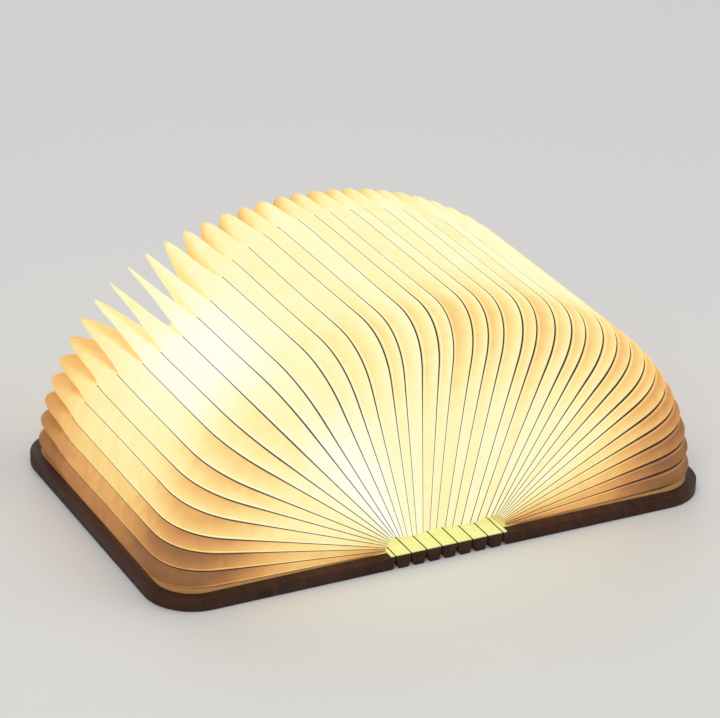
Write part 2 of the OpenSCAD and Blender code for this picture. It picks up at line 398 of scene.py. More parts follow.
def crossing_strip(name, x0, x1, hinge):
    """Strip of lining over one hinge line: a thin box whose top sinks at the crease by a narrow
    bell of the distance to the hinge."""
    fine = hinge + np.linspace(-1, 1, CREASE_STEPS) * MM
    x = np.unique(np.concatenate([np.linspace(x0, x1, STRIP_STEPS), fine]))
    y = np.linspace(LINING[0][1], LINING[1][1], STRIP_STEPS)
    top = LINING[1][2] - CREASE_DEPTH * bell(x, hinge, CREASE_WIDTH)
    loop_x = np.concatenate([x, x[::-1]])
    loop_z = np.concatenate([np.full(len(x), LINING[0][2]), top[::-1]])
    around = len(loop_x)
    points = np.column_stack([
        np.tile(loop_x, len(y)), np.repeat(y, around), np.tile(loop_z, len(y)),
    ])
    faces = tube_faces(len(y), around)[:, ::-1].tolist()
    k = np.arange(len(x) - 1)
    cap = np.stack([k, k + 1, around - 2 - k, around - 1 - k], -1)
    faces += cap.tolist() + ((len(y) - 1) * around + cap[:, ::-1]).tolist()
    away = np.tile(np.abs(loop_x - hinge) / MM, len(y))
    return make_mesh(name, points, faces, smooth=False, attributes={"from_crease_mm": away})


# ---- pleats


def seam_angles(uneven):
    """Direction of every seam, in degrees from 180 at the left cover to 0 at the right. The shares
    of the fan follow 1 + u (a slow cosine + a scatter), are added up and scaled to the opening."""
    i = np.arange(PLEATS)
    wave = np.cos(np.radians(360 * (i / PLEATS - WAVE_START) / WAVE_SPAN))
    share = 1 + uneven * (WAVE * wave + SCATTER * np.sin(np.radians(i * SCATTER_TURN)))
    total = np.concatenate([[0], np.cumsum(share)]) / share.sum()
    return 180 - FAN_EDGE - (180 - 2 * FAN_EDGE) * total


def half_outline(s0, y0, s1, y1, r):
    """Stations from a root up the straight side, round the shoulder and along half the fore-edge.
    The shoulder is the quadratic curve (1-t)^2 a + 2t(1-t) corner + t^2 b, with a and b at r from
    the corner."""
    root = np.array([s0, -(y0 + (y1 - y0) * s0 / s1)])
    corner = np.array([s1, -y1])
    side = corner - root
    a = corner - side / np.linalg.norm(side) * r
    b = corner + np.array([0, r])
    f = (np.linspace(0, 1, SIDE_STEPS) ** SIDE_CLOSER)[:, None]
    t = np.linspace(0, 1, SHOULDER_STEPS)[1:, None]
    g = np.linspace(0, 1, FORE_STEPS)[1:, None]
    shoulder = (1 - t) ** 2 * a + 2 * t * (1 - t) * corner + t**2 * b
    middle = np.array([s1, 0.0])
    return np.concatenate([root + (a - root) * f, shoulder, b + (middle - b) * g])


def whole_outline(s0, y0, s1, y1, tail_r, head_r):
    """Both halves, tail root to head root, each with its own shoulder."""
    tail = half_outline(s0, y0, s1, y1, tail_r)
    head = half_outline(s0, y0, s1, y1, head_r)
    return np.concatenate([tail, head[-2::-1] * [1, -1]])


def root_x(a):
    """Place of a root across the spine, -1 to 1: sin(90 min(1, |cos a| / gather)), spread out in
    the middle and gathered at the two ends."""
    c = np.cos(a)
    return np.sign(c) * np.sin(np.pi / 2 * np.minimum(1, np.abs(c) / GATHER))


def in_fan(a, s, y):
    """Point at reach s and place y along the spine, in the direction a (radians): on the straight
    line from the root to the point of the half ellipse that the fore-edges follow."""
    t = s / CAD_REACH
    x = (1 - t) * ROOT_HALF * root_x(a) + t * FAN_HALF * np.cos(a)
    return np.stack([x + 0 * y, y + 0 * a, ROOT_Z + s * np.sin(a) + 0 * y], -1)


def fan_width(a, s):
    """Width of the fan at reach s for each radian, square to the pleat."""
    e = 0.01
    y = 0 * s
    wide = (in_fan(a + e, s, y) - in_fan(a - e, s, y)) / (2 * e)
    up = in_fan(a, s + MM, y) - in_fan(a, s - MM, y)
    turned = wide[..., 0] * up[..., 2] - wide[..., 2] * up[..., 0]
    return np.abs(turned) / np.linalg.norm(up, axis=-1)


def splay(a):
    """How far the pleats in the direction a (radians) stand apart at the head end, 0 to 1."""
    return float(bell(math.degrees(a), SPLAY_AT, SPLAY_WIDTH))


def seam_sway(k, u):
    """Small sideways drift of seam k along the pleat, in degrees: a slow and a quick sine that die
    out at the roots. The seams at the covers keep straight."""
    if k in (0, PLEATS):
        return 0 * u
    held = np.sin(np.pi * np.clip(u, 0, 1)) ** SWAY_HELD
    (slow, a, b), (quick, c, d) = SWAY_SLOW, SWAY_QUICK
    return held * (slow * np.sin(a * u + b * k) + quick * np.sin(c * u + d * k * k))


def leaf_outlines(direction, fan):
    """Seam outline and fold outline of the fan in one direction (radians). Neighbours meet on the
    same seam outline."""
    out = float(root_x(direction)) ** 2
    root = ROOT_RISE + OUTER_RISE * out**2
    apart = splay(direction)

    def drawn(reach, root_in, side_in, turn, splayed):
        at_root = HALF_L - root_in + OUTER_LONGER * out
        return whole_outline(root, at_root, reach, HALF_L - side_in, turn, turn + splayed * apart)

    return drawn(fan.reach - fan.dip, **SEAM_LINE), drawn(fan.reach, **FOLD_LINE)


def groove(u, apart):
    """How deep the seam groove is along the outline, 0 to 1: shallow from the tail root to the
    fore-edge, full round the head corner, where the pleats stand apart, and shallower again
    towards the head root. Splayed pleats part sooner."""
    start = GROOVE_START - SPLAY_START * apart
    full = GROOVE_FULL - SPLAY_FULL * apart
    back, span, less = GROOVE_END
    return ease((u - start) / (full - start)) * (1 - less * ease((u - back) / span))


def tip_place(fold, u):
    """Place along the outline where the head corner is."""
    return u[np.argmax(fold[:, 0] * CORNER_LEAN + fold[:, 1])]


def shoulders(u, fold):
    """1 at the tail corner of the outline, falling off as a bell."""
    return bell(u, u[np.argmax(fold[:, 0] * CORNER_LEAN - fold[:, 1])], SHOULDER_SPAN)


def whole_ring(values, lip=0.0, inside=None):
    """Values round the section: the outer skin's, the lip's (the last value plus lip) and the
    inner skin's, which run back and are the same unless inside is given."""
    edge = values[:, -1:] + np.zeros(len(LIP_SHAPE)) + lip
    back = values if inside is None else inside
    return np.concatenate([values, edge, back[:, ::-1]], 1)


def pleat(number, angles, fan):
    """One pleat: a closed puffed shell. Across it v = sin(p) runs from seam to seam, and the skin
    rises from the line between the seams to the fold as a power of cos(p). The inner skin lies
    one wall inside. A lip at the left seam reaches under the next pleat, so no slit opens when
    the fan is spread. Near the head tip a splayed pleat is narrow and flat."""
    left, right = angles[number - 1], angles[number]
    mid = math.radians((left + right) / 2)
    apart = splay(mid)
    p = np.radians(np.linspace(-90, 90, ACROSS))
    v = np.sin(p)
    share = ((1 + v) / 2)[None, :, None]
    seam_l, fold_l = leaf_outlines(math.radians(left), fan)
    seam_r, fold_r = leaf_outlines(math.radians(right), fan)
    middle = (fold_l + fold_r) / 2
    step = np.linalg.norm(np.diff(middle, axis=0), axis=1)
    u = np.concatenate([[0], np.cumsum(step)]) / step.sum()
    inward = (seam_l + seam_r) / 2 - middle
    inward /= np.linalg.norm(inward, axis=1)[:, None]
    near_tip = np.clip(1 - np.abs(u - tip_place(middle, u)) / BLADE_SPAN, 0, 1)
    blade = (apart * near_tip)[:, None] * (np.abs(v) < 1)[None, :]

    deep_l = groove(u, splay(math.radians(left)))[:, None]
    deep_r = groove(u, splay(math.radians(right)))[:, None]
    deep = deep_r + (deep_l - deep_r) * share[..., 0]
    fold = fold_r[:, None] + (fold_l - fold_r)[:, None] * share
    drop = (seam_r - fold_r)[:, None] * (1 - share) + (seam_l - fold_l)[:, None] * share
    drop = drop * (fan.shallow + (1 - fan.shallow) * deep)[..., None]
    rise = np.cos(p)[None, :] ** (PUFF - PUFF_DEEP * deep)
    rise[:, [1, -2]] *= 1 - BLADE_FLAT * blade[:, [1, -2]]
    flat = fold + drop * (1 - rise)[..., None]
    inner = flat + inward[:, None, :] * fan.wall
    under = flat[:, -1:] + inward[:, None, :] * LIP_DEPTH[None, :, None]

    lean_l = np.radians(left + seam_sway(number - 1, u))
    lean_r = np.radians(right + seam_sway(number, u))
    centre = (lean_l + lean_r) / 2
    wide = fan_width(mid, ((seam_l + seam_r) / 2)[:, 0])
    half = (lean_l - lean_r) / 2 - fan.gap / 2 / wide
    spread = half[:, None] * (1 - fan.pinch * blade)
    narrow = spread * (1 - np.minimum(MOST_NARROWED, fan.wall / (spread * wide[:, None])))
    a = centre[:, None] + v[None, :] * spread
    b = centre[:, None] + v[None, :] * narrow
    lip = np.minimum(LIP_REACH, LIP_SHARE * half * wide) * (LIP_AT_COVER if number == 1 else 1)
    c = a[:, -1:] + (lip / wide)[:, None] * LIP_SHAPE

    rings = np.concatenate([
        in_fan(a, flat[..., 0], flat[..., 1]),
        in_fan(c, under[..., 0], under[..., 1]),
        in_fan(b, inner[..., 0], inner[..., 1])[:, ::-1],
    ], 1)
    n, around = rings.shape[:2]
    k = np.arange(around // 2 - 1)
    first = np.stack([k, around - 1 - k, around - 2 - k, k + 1], -1)
    last = (n - 1) * around + first[:, ::-1]
    faces = np.concatenate([tube_faces(n, around), first, last])

    room = half * wide / MM
    from_seam = (1 - np.abs(v)) * room[:, None] + LINE_OFF_TIP * (apart * near_tip**0.5)[:, None]
    outer = pleat_glow(mid, v, u, middle, number)
    inside = np.full_like(outer, bpy.context.scene.book_glow.level + INSIDE_MORE)
    kept = {
        "seam_mm": whole_ring(from_seam, LINE_OFF_LIP),
        "shade_line_mm": whole_ring(seam_shade_width(math.degrees(mid), v, shoulders(u, middle), room)),
        "side": whole_ring(np.tile(v, (n, 1))),
        "glow": whole_ring(outer, inside=inside),
    }
    return make_mesh("paper_pleat_%02d" % number, rings.reshape(-1, 3), faces, attributes=kept)


def seam_shade_width(deg, v, bend, room):
    """Width in millimetres of the dark seam line of painted shade on the pleat in the direction
    deg, for the crevice between pleats and the glued seam that passes less light. It grows at the
    tail shoulder (bend), most on the flank that faces down and to the right of upright, and stays
    under a share of the half width (room)."""
    flank = np.clip((-v if deg < 90 else v) * FLANK_SLOPE, 0, 1)
    bold = 1 / (1 + math.exp((deg - BOLD_FROM) / BOLD_OVER))
    line = LINE + LINE_SHOULDER * (1 + bold) * bend
    more = (LINE_FLANK + LINE_FLANK_BOLD * bold) * bend
    return np.minimum(line[:, None] * (1 + more[:, None] * flank), LINE_MOST * room[:, None])


def pleat_glow(mid, v, u, fold, number):
    """Light through the paper, in doublings above or below one. It is even over most of the fan,
    drops towards the covers as a bell, is strongest near HOT_AT at the tail side and HOT_FORE
    further over along the fore-edge, and falls off at the roots, shoulders and head tips and on
    the flank that faces down."""
    light = bpy.context.scene.book_glow
    deg = math.degrees(mid)
    off = 90 - abs(deg - 90)
    side = "left" if deg > 90 else "right"
    bend = shoulders(u, fold)
    tip = tip_place(fold, u)
    past = (u - u[np.argmax(bend)]) / FORE_FADE
    fore = np.clip(past, 0, 1) * np.clip((tip - u) / FORE_FADE, 0, 1)
    hot = bell(deg, HOT_AT + HOT_FORE * fore, HOT_WIDTH) * (1 - HOT_OFF_SHOULDER * bend)
    hot = hot * np.clip((HOT_END - u) / HOT_FADE, 0, 1)
    lost, over = AT_COVER[side]
    covers = lost * bell(off, 0, over)
    always, outer, fade = AT_SHOULDER[side]
    shoulder = (always + outer * math.exp(-off / fade)) * bend
    root = AT_ROOT * math.exp(-off / ROOT_FADE) * bell(u, 0, ROOT_SPAN)
    low = min(1.0, max(0.0, (deg - LOW_FROM) / LOW_OVER))
    span = HEAD_SPAN[0] + HEAD_SPAN[1] * low
    head = AT_HEAD * (1 - HEAD_SPLAYED * splay(mid)) * bell(u, tip, span)
    fore_edge = AT_FORE * math.exp(-off / FORE_DEGREES) * fore
    level = light.level + light.hot * hot - covers - shoulder - fore_edge - head - root
    level = level + LEVEL_SCATTER * math.sin(LEVEL_TURN * number * number)
    flank = math.tanh((HOT_AT - deg) / FLANK_TURN) * v
    flank = flank * (1 - FLANK_HOT * bell(deg, FLANK_HOT_AT, FLANK_HOT_WIDTH))
    dark = FLANK_SHOULDER * bend + FLANK_TIP * bell(u, tip, TIP_SPAN)
    return np.maximum(level[:, None] - dark[:, None] * flank, LEAST_LEVEL)


def sector(angles, number):
    """Which side of upright pleat number leans to (1 left, -1 right), and which hinge of that side
    bends it, from 0 beside the middle slat to LAST_HINGE beside the cover."""
    lean = (angles[number - 1] + angles[number]) / 2 - 90
    return (1 if lean > 0 else -1), min(LAST_HINGE, int(abs(lean) // HINGE_STEP))


def bending_groups(angles):
    """The pleats that each hinge bends, listed outwards from the upright ones: (side, hinge) to
    pleat numbers."""
    groups = {}
    for number in range(1, PLEATS + 1):
        groups.setdefault(sector(angles, number), []).append(number)
    return {key: group[::-1] if key[0] > 0 else group for key, group in groups.items()}


def bending_ramps(angles, fan):
    """For every pleat the ramp t = c + gx x + gz z, as (c, gx, gz); its share of the hinge's turn
    is t^2 (3 - 2t). Near the fore-edge t fits each seam's share, and runs past 0 and 1 at a
    hinge's first and last seam. At the roots neighbours differ by one small step, so they agree
    along their seam. Each hinge's pleats are one linear system."""
    at = fan.reach * REACH_SHARE
    ramps = {}
    for (side, k), group in bending_groups(angles).items():
        count = len(group)
        inner = group[0] if side > 0 else group[0] - 1
        seams = [inner] + [number - (side > 0) for number in group]
        share = np.clip((np.abs(angles[seams] - 90) - k * HINGE_STEP) / HINGE_STEP, 0, 1)
        by_cover = k == LAST_HINGE
        if not by_cover:
            share = share - RAMP_SOFTER * np.sin(2 * np.pi * share)
        t = uneased(share)
        t[0], t[-1] = -RAMP_PAST, 1 if by_cover else 1 + RAMP_PAST
        turn = np.radians(angles[seams])
        far, near = (in_fan(turn, np.array(s), np.array(0.0)) for s in (at, 0.0))
        rows, wanted = np.zeros((3 * count, count, 3)), np.zeros(3 * count)
        for i in range(count):
            rows[2 * i, i] = [1, far[i, 0], far[i, 2]]
            rows[2 * i + 1, i] = [1, far[i + 1, 0], far[i + 1, 2]]
            wanted[2 * i : 2 * i + 2] = t[i : i + 2]
        for i in range(1, count):
            row = np.array([1, near[i, 0], near[i, 2]])
            rows[2 * count + i, i], rows[2 * count + i, i - 1] = row, -row
            wanted[2 * count + i] = ROOT_STEP
        for i in ((count - 1) // 2, count // 2):
            middle = (near[i] + near[i + 1]) / 2
            rows[2 * count, i] += [0.5, middle[0] / 2, middle[2] / 2]
        wanted[2 * count] = 0.5
        solved = np.linalg.solve(rows.reshape(3 * count, -1), wanted).reshape(count, 3)
        ramps.update(zip(group, solved))
    return ramps


def bend_pleat(thing):
    """Bakes a pleat's placement into its points; it is not blended between the boards."""
    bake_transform(thing)


# ---- materials


def add_socket(tree, way, kind, name):
    """A named socket of a group: way is INPUT or OUTPUT, kind is Float, Vector or Color."""
    return tree.interface.new_socket(name=name, in_out=way, socket_type="NodeSocket" + kind)


def group(name, inputs, outputs):
    """A node group with the vector input Place, named float inputs and named outputs."""
    tree = bpy.data.node_groups.new(name, "ShaderNodeTree")
    add_socket(tree, "INPUT", "Vector", "Place")
    for key, value in inputs:
        add_socket(tree, "INPUT", "Float", key).default_value = value
    for key in outputs:
        add_socket(tree, "OUTPUT", "Float", key)
    return tree, tree.nodes.new("NodeGroupInput"), tree.nodes.new("NodeGroupOutput")


def join(tree, *pairs):
    """Links output to input, pair by pair."""
    for a, b in pairs:
        tree.links.new(a, b)


def give(tree, socket, value):
    """Links a socket to value, or sets it to value where that is a number, vector or colour."""
    if hasattr(value, "is_output"):
        tree.links.new(value, socket)
    elif socket.type == "RGBA":
        socket.default_value = (*value[:3], 1)
    else:
        socket.default_value = value


def add(tree, kind, **values):
    """A shader node, with values for its inputs, whose names have _ for a space."""
    node = tree.nodes.new("ShaderNode" + kind)
    for key, value in values.items():
        give(tree, node.inputs[key.replace("_", " ")], value)
    return node


def maths(tree, operation, *values):
    """A Math node; the values are sockets or numbers."""
    node = add(tree, "Math")
    node.operation = operation
    for socket, value in zip(node.inputs, values):
        give(tree, socket, value)
    return node.outputs[0]


def weighed(tree, operation, a, share_a, b, share_b):
    """Sum or difference of two sockets, each times its share."""
    a = maths(tree, "MULTIPLY", a, share_a)
    return maths(tree, operation, a, maths(tree, "MULTIPLY", b, share_b))


def remap(tree, value, low, high, to_low=0.0, to_high=1.0, smooth=False):
    """Map Range, clamped."""
    ends = {"From_Min": low, "From_Max": high, "To_Min": to_low, "To_Max": to_high}
    node = add(tree, "MapRange", Value=value, **ends)
    if smooth:
        node.interpolation_type = "SMOOTHSTEP"
    return node.outputs["Result"]


def blend_colours(tree, factor, a, b):
    """Mix of two colours; factor is a socket, a and b are sockets or colours."""
    node = add(tree, "Mix")
    node.data_type = "RGBA"
    for socket, value in zip((node.inputs[0], node.inputs[6], node.inputs[7]), (factor, a, b)):
        give(tree, socket, value)
    return node.outputs[2]


def noise(tree, place, scale, detail=4.0, roughness=0.55, distortion=0.0):
    """Noise texture at a scale counted per metre."""
    shape = {"Detail": detail, "Roughness": roughness, "Distortion": distortion}
    return add(tree, "TexNoise", Vector=place, Scale=scale, **shape).outputs["Fac"]


def stretched(tree, place, scale):
    """Mapping that scales a place."""
    return add(tree, "Mapping", Vector=place, Scale=scale).outputs["Vector"]


def grain_group():
    """Walnut: long streaks along the spine, fine open pores and a height for the bump."""
    tree, inlet, outlet = group(
        "walnut_grain", [("Streaks", 260.0), ("Pores", 1500.0)], ["Figure", "Pore", "Height"]
    )
    long = stretched(tree, inlet.outputs["Place"], (1, 0.055, 1))
    longer = stretched(tree, inlet.outputs["Place"], (1, 0.03, 1))
    broad = noise(tree, long, inlet.outputs["Streaks"], 5, 0.6, 0.6)
    slow = noise(tree, long, 70, 2, 0.5, 1.2)
    pore = remap(tree, noise(tree, longer, inlet.outputs["Pores"], 2, 0.6), 0.58, 0.68)
    figure = remap(tree, weighed(tree, "ADD", broad, 0.6, slow, 0.4), 0.32, 0.68)
    height = weighed(tree, "SUBTRACT", broad, 0.4, pore, 0.8)
    join(tree, *zip((figure, pore, height), outlet.inputs))
    return tree


def fibre_group():
    """Non-woven paper: cloudy thickness with crossing fibres, and a height for the bump."""
    tree, inlet, outlet = group(
        "paper_fibres", [("Clouds", 160.0), ("Fibres", 900.0)], ["Cloud", "Fibre", "Height"]
    )
    place = inlet.outputs["Place"]
    fibres = inlet.outputs["Fibres"]
    cloud = noise(tree, place, inlet.outputs["Clouds"], 3, 0.5, 0.8)
    one = noise(tree, stretched(tree, place, (1, 0.25, 1)), fibres, 3, 0.6, 1.0)
    two = noise(tree, stretched(tree, place, (0.3, 1, 0.3)), fibres, 3, 0.6, 1.0)
    fibre = maths(tree, "MAXIMUM", one, two)
    height = weighed(tree, "ADD", fibre, 0.5, cloud, 0.8)
    join(tree, *zip((cloud, fibre, height), outlet.inputs))
    return tree


def marks_group():
    """Handling marks: a soft unevenness for gloss on plastic and metal."""
    tree, inlet, outlet = group("handling_marks", [("Size", 220.0)], ["Mark", "Height"])
    place = inlet.outputs["Place"]
    mark = remap(tree, noise(tree, place, inlet.outputs["Size"], 4, 0.6), 0.35, 0.65)
    fine = noise(tree, place, 4200, 2, 0.6)
    join(tree, *zip((mark, fine), outlet.inputs))
    return tree


def film_group():
    """Colour of lit paper: each channel is peak (1 - exp(-share * 2^level)), so weak light looks
    brown, more light looks orange, then yellow, then white."""
    light = bpy.context.scene.book_glow
    tree = bpy.data.node_groups.new("film_response", "ShaderNodeTree")
    add_socket(tree, "INPUT", "Float", "Level")
    add_socket(tree, "OUTPUT", "Color", "Colour")
    inlet, outlet = tree.nodes.new("NodeGroupInput"), tree.nodes.new("NodeGroupOutput")
    amount = maths(tree, "POWER", 2.0, inlet.outputs["Level"])
    colour = add(tree, "CombineColor")
    for socket, share in zip(colour.inputs, light.through):
        left = maths(tree, "EXPONENT", maths(tree, "MULTIPLY", amount, -share))
        gained = maths(tree, "SUBTRACT", 1.0, left)
        join(tree, (maths(tree, "MULTIPLY", gained, light.peak), socket))
    join(tree, (colour.outputs["Color"], outlet.inputs["Colour"]))
    return tree


class Finish:
    """A material being made: its tree, its Principled shader and the object's own coordinates."""

    def __init__(self, name):
        self.material = bpy.data.materials.new(name)
        self.material.use_nodes = True
        self.tree = self.material.node_tree
        self.tree.nodes.clear()
        self.shader = add(self.tree, "BsdfPrincipled")
        add(self.tree, "OutputMaterial", Surface=self.shader.outputs[0])
        self.place = add(self.tree, "TexCoord").outputs["Object"]

    def use(self, tree, **values):
        """Places a shared group and gives it this material's values."""
        node = add(self.tree, "Group")
        node.node_tree = tree
        for key, value in {"Place": self.place, **values}.items():
            give(self.tree, node.inputs[key], value)
        return node

    def attribute(self, name):
        """A value kept on the piece's own points."""
        node = add(self.tree, "Attribute")
        node.attribute_name = name
        return node.outputs["Fac"]

    def set(self, **values):
        """Sets shader sockets: a colour, a number or a socket to link."""
        for key, value in values.items():
            give(self.tree, self.shader.inputs[key.replace("_", " ")], value)

    def bump(self, height, strength, distance=0.2 * MM):
        """Turns a height into the shader's normal."""
        node = add(self.tree, "Bump", Strength=strength, Distance=distance, Height=height)
        self.set(Normal=node.outputs["Normal"])


MADE = {}


def once(name, maker, *values):
    """What maker makes, made once and kept under its name."""
    if name not in MADE:
        MADE[name] = maker(*values)
    return MADE[name]


def finish(name, maker):
    """A material, built once."""
    return once(name, maker, name)


def walnut(name):
    """Oiled dark walnut."""
    wood = bpy.context.scene.book_wood
    f = Finish(name)
    grain = f.use(once("grain", grain_group))
    colour = blend_colours(f.tree, grain.outputs["Figure"], wood.dark, wood.light)
    open_pore = maths(f.tree, "MULTIPLY", grain.outputs["Pore"], 0.7)
    f.set(
        Base_Color=blend_colours(f.tree, open_pore, colour, PORE_BROWN),
        Roughness=remap(f.tree, grain.outputs["Figure"], 0, 1, 0.62, 0.48),
        Specular_IOR_Level=0.22,
    )
    f.bump(grain.outputs["Height"], 0.35)
    return f.material


def paper(name, rough, gloss, bump, colours):
    """A paper finish; colours takes its Finish and its fibres, and gives what the paper gives back
    and what it glows with."""
    f = Finish(name)
    fibres = f.use(once("fibres", fibre_group))
    plain, lit = colours(f, fibres)
    f.set(
        Base_Color=plain, Emission_Color=lit, Emission_Strength=1.0, Roughness=rough,
        Specular_IOR_Level=gloss,
    )
    f.bump(fibres.outputs["Height"], bump)
    return f.material


def lit_paper(name):
    """Pleat paper lit from behind: the level kept on the points picks the colour, thin cloudy
    fibres vary it, the glued seams and the crevices between pleats get painted shade as dark
    lines, and a painted highlight runs beside them."""

    def colours(f, fibres):
        t = f.tree
        cloud = remap(t, fibres.outputs["Cloud"], *CLOUDY, -CLOUD_LIGHT, CLOUD_LIGHT)
        over = maths(t, "DIVIDE", f.attribute("seam_mm"), f.attribute("shade_line_mm"))
        # painted highlight: a bright thin line beside each seam, on one side of the pleat
        begins = remap(t, over, *HIGHLIGHT_BEGINS, smooth=True)
        ends = remap(t, over, *HIGHLIGHT_ENDS, 1.0, 0.0, smooth=True)
        one_side = remap(t, f.attribute("side"), *HIGHLIGHT_SIDE, 0.0, HIGHLIGHT_LIGHT)
        edge = maths(t, "MULTIPLY", maths(t, "MULTIPLY", begins, ends), one_side)
        level = maths(t, "ADD", maths(t, "ADD", f.attribute("glow"), cloud), edge)
        film = add(t, "Group")
        film.node_tree = once("film", film_group)
        join(t, (level, film.inputs["Level"]))
        # painted shade: near-black seam lines in both the glow and the base colour, for the
        # crevices between pleats and the glued seams
        seam = remap(t, over, *SEAM_FADE, smooth=True)
        lit = blend_colours(t, seam, SEAM_SHADE_GLOW, film.outputs["Colour"])
        return blend_colours(t, seam, SEAM_SHADE_BASE, bpy.context.scene.book_glow.sheet), lit

    return paper(name, 0.82, 0.2, 0.15, colours)


def lining_paper(name):
    """Spine lining: cream paper in the lamp's light, with painted shade along its creases."""

    def colours(f, fibres):
        t = f.tree
        cloud = remap(t, fibres.outputs["Cloud"], *CLOUDY)
        cream = blend_colours(t, cloud, LINING_THIN, LINING_THICK)
        # painted shade along each crease: darker base colour, and the glow taken out
        crease = remap(t, f.attribute("from_crease_mm"), *CREASE_FADE, smooth=True)
        plain = blend_colours(t, crease, CREASE_SHADE, cream)
        return plain, blend_colours(t, crease, (0, 0, 0), LINING_LIT)

    return paper(name, 0.8, 0.25, 0.2, colours)


def end_paper(name):
    """Paper glued to the covers, brown, with painted lamp light: bright like the lining beside the
    spine, and a dim orange glow where it shows along the fan."""

    def colours(f, fibres):
        t = f.tree
        cloud = remap(t, fibres.outputs["Cloud"], *CLOUDY)
        brown = blend_colours(t, cloud, SHEET_THIN, SHEET_THICK)
        # painted lamp light, bright beside the spine and fading to a dim glow
        away = maths(t, "ABSOLUTE", add(t, "SeparateXYZ", Vector=f.place).outputs["X"])
        away = remap(t, away, *SHEET_FADE, smooth=True)
        return brown, blend_colours(t, away, SHEET_LIT_NEAR, SHEET_LIT_FAR)

    return paper(name, 0.82, 0.2, 0.2, colours)


def moulded(name):
    """A plain moulded or plated finish with handling marks, from its row in MOULDED."""
    colour, rough, metallic, marks, *glow = MOULDED[name]
    f = Finish(name)
    mark = f.use(once("marks", marks_group), Size=marks)
    dull = tuple(c * 0.86 for c in colour)
    f.set(
        Base_Color=blend_colours(f.tree, mark.outputs["Mark"], dull, colour),
        Roughness=remap(f.tree, mark.outputs["Mark"], 0, 1, rough + 0.08, rough - 0.05),
        Metallic=metallic,
    )
    if glow:
        f.set(Emission_Color=glow[0], Emission_Strength=glow[1])
    f.bump(mark.outputs["Height"], 0.08, 0.05 * MM)
    return f.material


def switch_glass(name):
    """Clear tube of the reed switch."""
    f = Finish(name)
    f.set(Base_Color=(0.8, 0.95, 0.88), Roughness=0.05, Transmission_Weight=0.9, IOR=1.47)
    return f.material


def pale_floor(name):
    """Matt pale table."""
    f = Finish(name)
    f.set(Base_Color=bpy.context.scene.book_stage.floor, Roughness=0.55, Specular_IOR_Level=0.3)
    return f.material


def dress(node, material):
    """Gives a carried-over CAD node its finish."""
    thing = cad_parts[node]
    thing.data.materials.clear()
    thing.data.materials.append(material)


# ---- operators


class BOOKLAMP_OT_boards(Operator):
    """Makes the two covers and the seven slats with sanded edges"""

    bl_idname = "booklamp.boards"
    bl_label = "Boards"

    def execute(self, context):
        edge = context.scene.book_wood.edge_round
        material = finish("dark_walnut", walnut)
        low, high = HALF_SPINE + KERF_BOTTOM / 2, HALF_SPINE + KERF_TOP / 2
        leaf = rounded_leaf(low, high, BOARD[1][0], HALF_L, CORNER_R)
        for side in ("left", "right"):
            board = slab("board_" + side, leaf, 0.0, BOARD_T, edge, mirror=side == "left")
            board.data.materials.append(material)
            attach(board, "cover_" + side)
            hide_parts("cover_" + side)
        for k in range(1, SLATS + 1):
            bottom, top = (PITCH - KERF_BOTTOM) / 2, (PITCH - KERF_TOP) / 2
            shape = slat_outline((k - MIDDLE) * PITCH, bottom, top, HALF_L)
            board = slab("board_slat_%d" % k, shape, 0.0, BOARD_T, edge * SLAT_ROUND)
            board.data.materials.append(material)
            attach(board, BODIES[k])
            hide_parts("slat_%d" % k)
        return {"FINISHED"}


class BOOKLAMP_OT_linings(Operator):
    """Makes the end papers and the creased lining across the slats"""

    bl_idname = "booklamp.linings"
    bl_label = "Linings"

    def execute(self, context):
        low, high = PAPER
        r = CORNER_R - (BOARD[1][0] - high[0])
        leaf = rounded_leaf(low[0], low[0], high[0], high[1], r)
        for side in ("left", "right"):
            mirror = side == "left"
            sheet = slab("end_sheet_" + side, leaf, low[2], high[2], SHEET_ROUND, mirror)
            sheet.data.materials.append(finish("end_paper", end_paper))
            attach(sheet, "cover_" + side)
            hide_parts("end_paper_" + side)
        for k in range(SLATS + 1):
            hinge = (k - SLATS / 2) * PITCH
            x0 = LINING[0][0] if k == 0 else hinge - PITCH / 2
            x1 = LINING[1][0] if k == SLATS else hinge + PITCH / 2
            strip = crossing_strip("lining_strip_%d" % (k + 1), x0, x1, hinge)
            strip.data.materials.append(finish("lining_paper", lining_paper))
            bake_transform(strip)
            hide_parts("spine_lining")
        return {"FINISHED"}


class BOOKLAMP_OT_pleats(Operator):
    """Makes the fan of paper pleats"""

    bl_idname = "booklamp.pleats"
    bl_label = "Paper pleats"

    def execute(self, context):
        fan = context.scene.book_pleats
        angles = seam_angles(fan.uneven)
        ramps = bending_ramps(angles, fan)
        material = finish("lit_paper", lit_paper)
        for number in range(1, PLEATS + 1):
            thing = pleat(number, angles, fan)
            thing.data.materials.append(material)
            bend_pleat(thing)
            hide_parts("pleat_%02d" % number)
        return {"FINISHED"}


class BOOKLAMP_OT_light_bar(Operator):
    """Finishes the light bar, its diffuser, its board, LEDs, battery and switch"""

    bl_idname = "booklamp.light_bar"
    bl_label = "Light bar"

    def execute(self, context):
        for node, name in LIGHT_BAR.items():
            dress(node, finish(name, moulded))
        dress("reed_switch", finish("switch_glass", switch_glass))
        return {"FINISHED"}


class BOOKLAMP_OT_port(Operator):
    """Finishes the charging port at the head end and the magnets"""

    bl_idname = "booklamp.port"
    bl_label = "Port and magnets"

    def execute(self, context):
        dress("port_post", finish("white_plastic", moulded))
        dress("charging_socket", finish("socket_steel", moulded))
        for side in ("left", "right"):
            dress("magnets_" + side, finish("magnet_plate", moulded))
        return {"FINISHED"}


